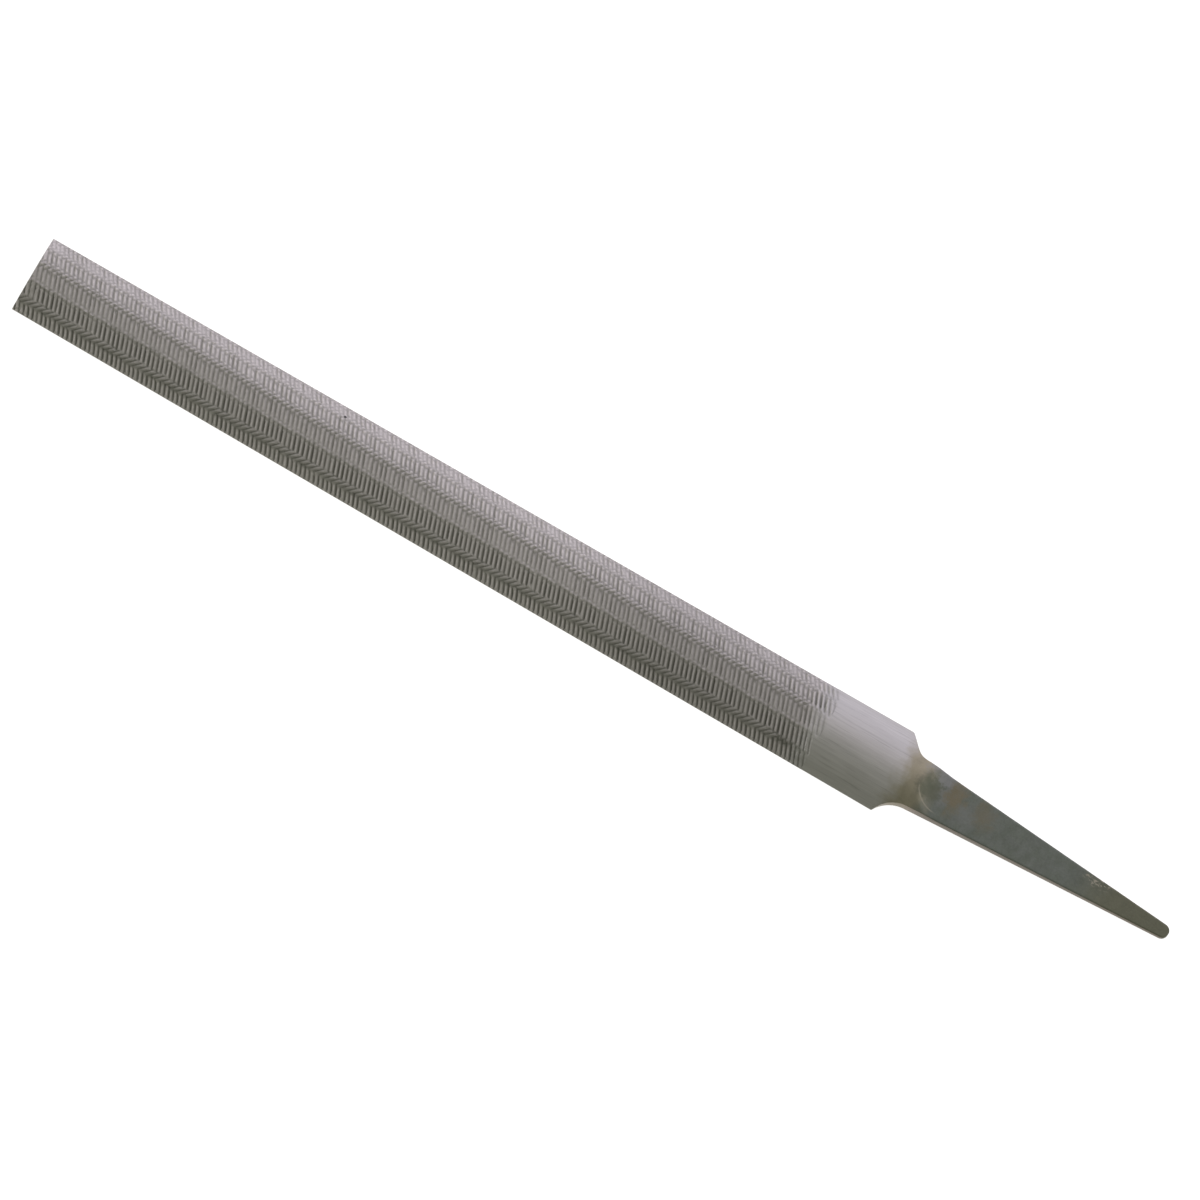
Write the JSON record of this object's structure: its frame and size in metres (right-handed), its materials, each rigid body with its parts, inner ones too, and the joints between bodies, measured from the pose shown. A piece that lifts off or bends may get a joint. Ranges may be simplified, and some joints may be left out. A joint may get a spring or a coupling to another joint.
{
  "type": "half-round file",
  "caption": "Half-round metalworking file with a double-cut toothed blade, smooth heel and bare tapered tang, for filing flat and concave surfaces.",
  "frame": {"origin": "middle of the bounding box in X and Y, on the plane of the flat face", "axes": "+X along the length from the point towards the tang, +Y across the width, +Z from the flat face up to the crown of the round side"},
  "size_m": [0.1986, 0.0137, 0.0041],
  "materials": {
    "cut_steel": "hardened tool steel cut with crossed rows of teeth, satin grey",
    "ground_steel": "satin ground steel with fine lengthwise lines, straw-coloured towards the shoulders",
    "tempered_steel": "dark grey-green forging scale with temper colours and scuffs"
  },
  "bodies": {
    "root": {"cut_blade": "cut_steel", "heel": "ground_steel", "tang": "tempered_steel"}
  },
  "joints": []
}
